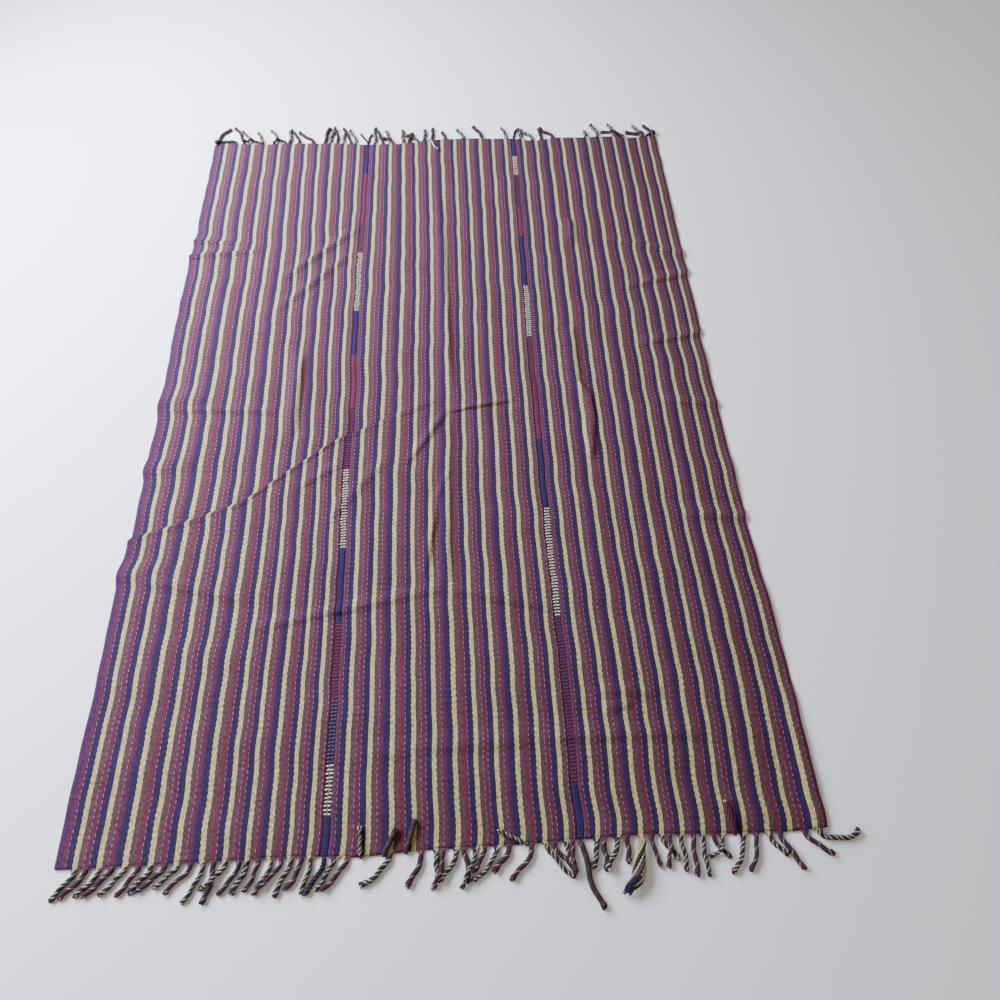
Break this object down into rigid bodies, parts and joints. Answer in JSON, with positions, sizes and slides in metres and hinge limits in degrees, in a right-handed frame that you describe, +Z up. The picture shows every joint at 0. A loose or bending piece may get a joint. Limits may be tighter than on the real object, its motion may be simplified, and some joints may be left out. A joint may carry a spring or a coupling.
{
  "type": "throw blanket",
  "caption": "Striped woven throw blanket of loom-width panels joined by stitched bands, laid out with soft folds, with a twisted cord fringe at both ends.",
  "frame": {"origin": "on the floor under the middle of the whole blanket, fringe included", "axes": "+X across the blanket, +Y along it to its far end, +Z up"},
  "size_m": [1.5622, 2.3798, 0.013],
  "materials": {
    "cloth": "warp-faced cotton in cream, taupe, crimson and navy stripes",
    "joining_yarn": "matte stitched yarn in blocks of navy, crimson, cream and mixed colours",
    "fringe_yarn": "matte twisted cotton cord with frayed tips"
  },
  "bodies": {
    "root": {"panel_left": "cloth", "panel_middle": "cloth", "panel_right": "cloth", "seam_left": "joining_yarn", "seam_right": "joining_yarn", "fringe_top_left": "fringe_yarn", "fringe_top_middle": "fringe_yarn", "fringe_top_right": "fringe_yarn", "fringe_bottom_left": "fringe_yarn", "fringe_bottom_middle": "fringe_yarn", "fringe_bottom_right": "fringe_yarn"}
  },
  "joints": []
}
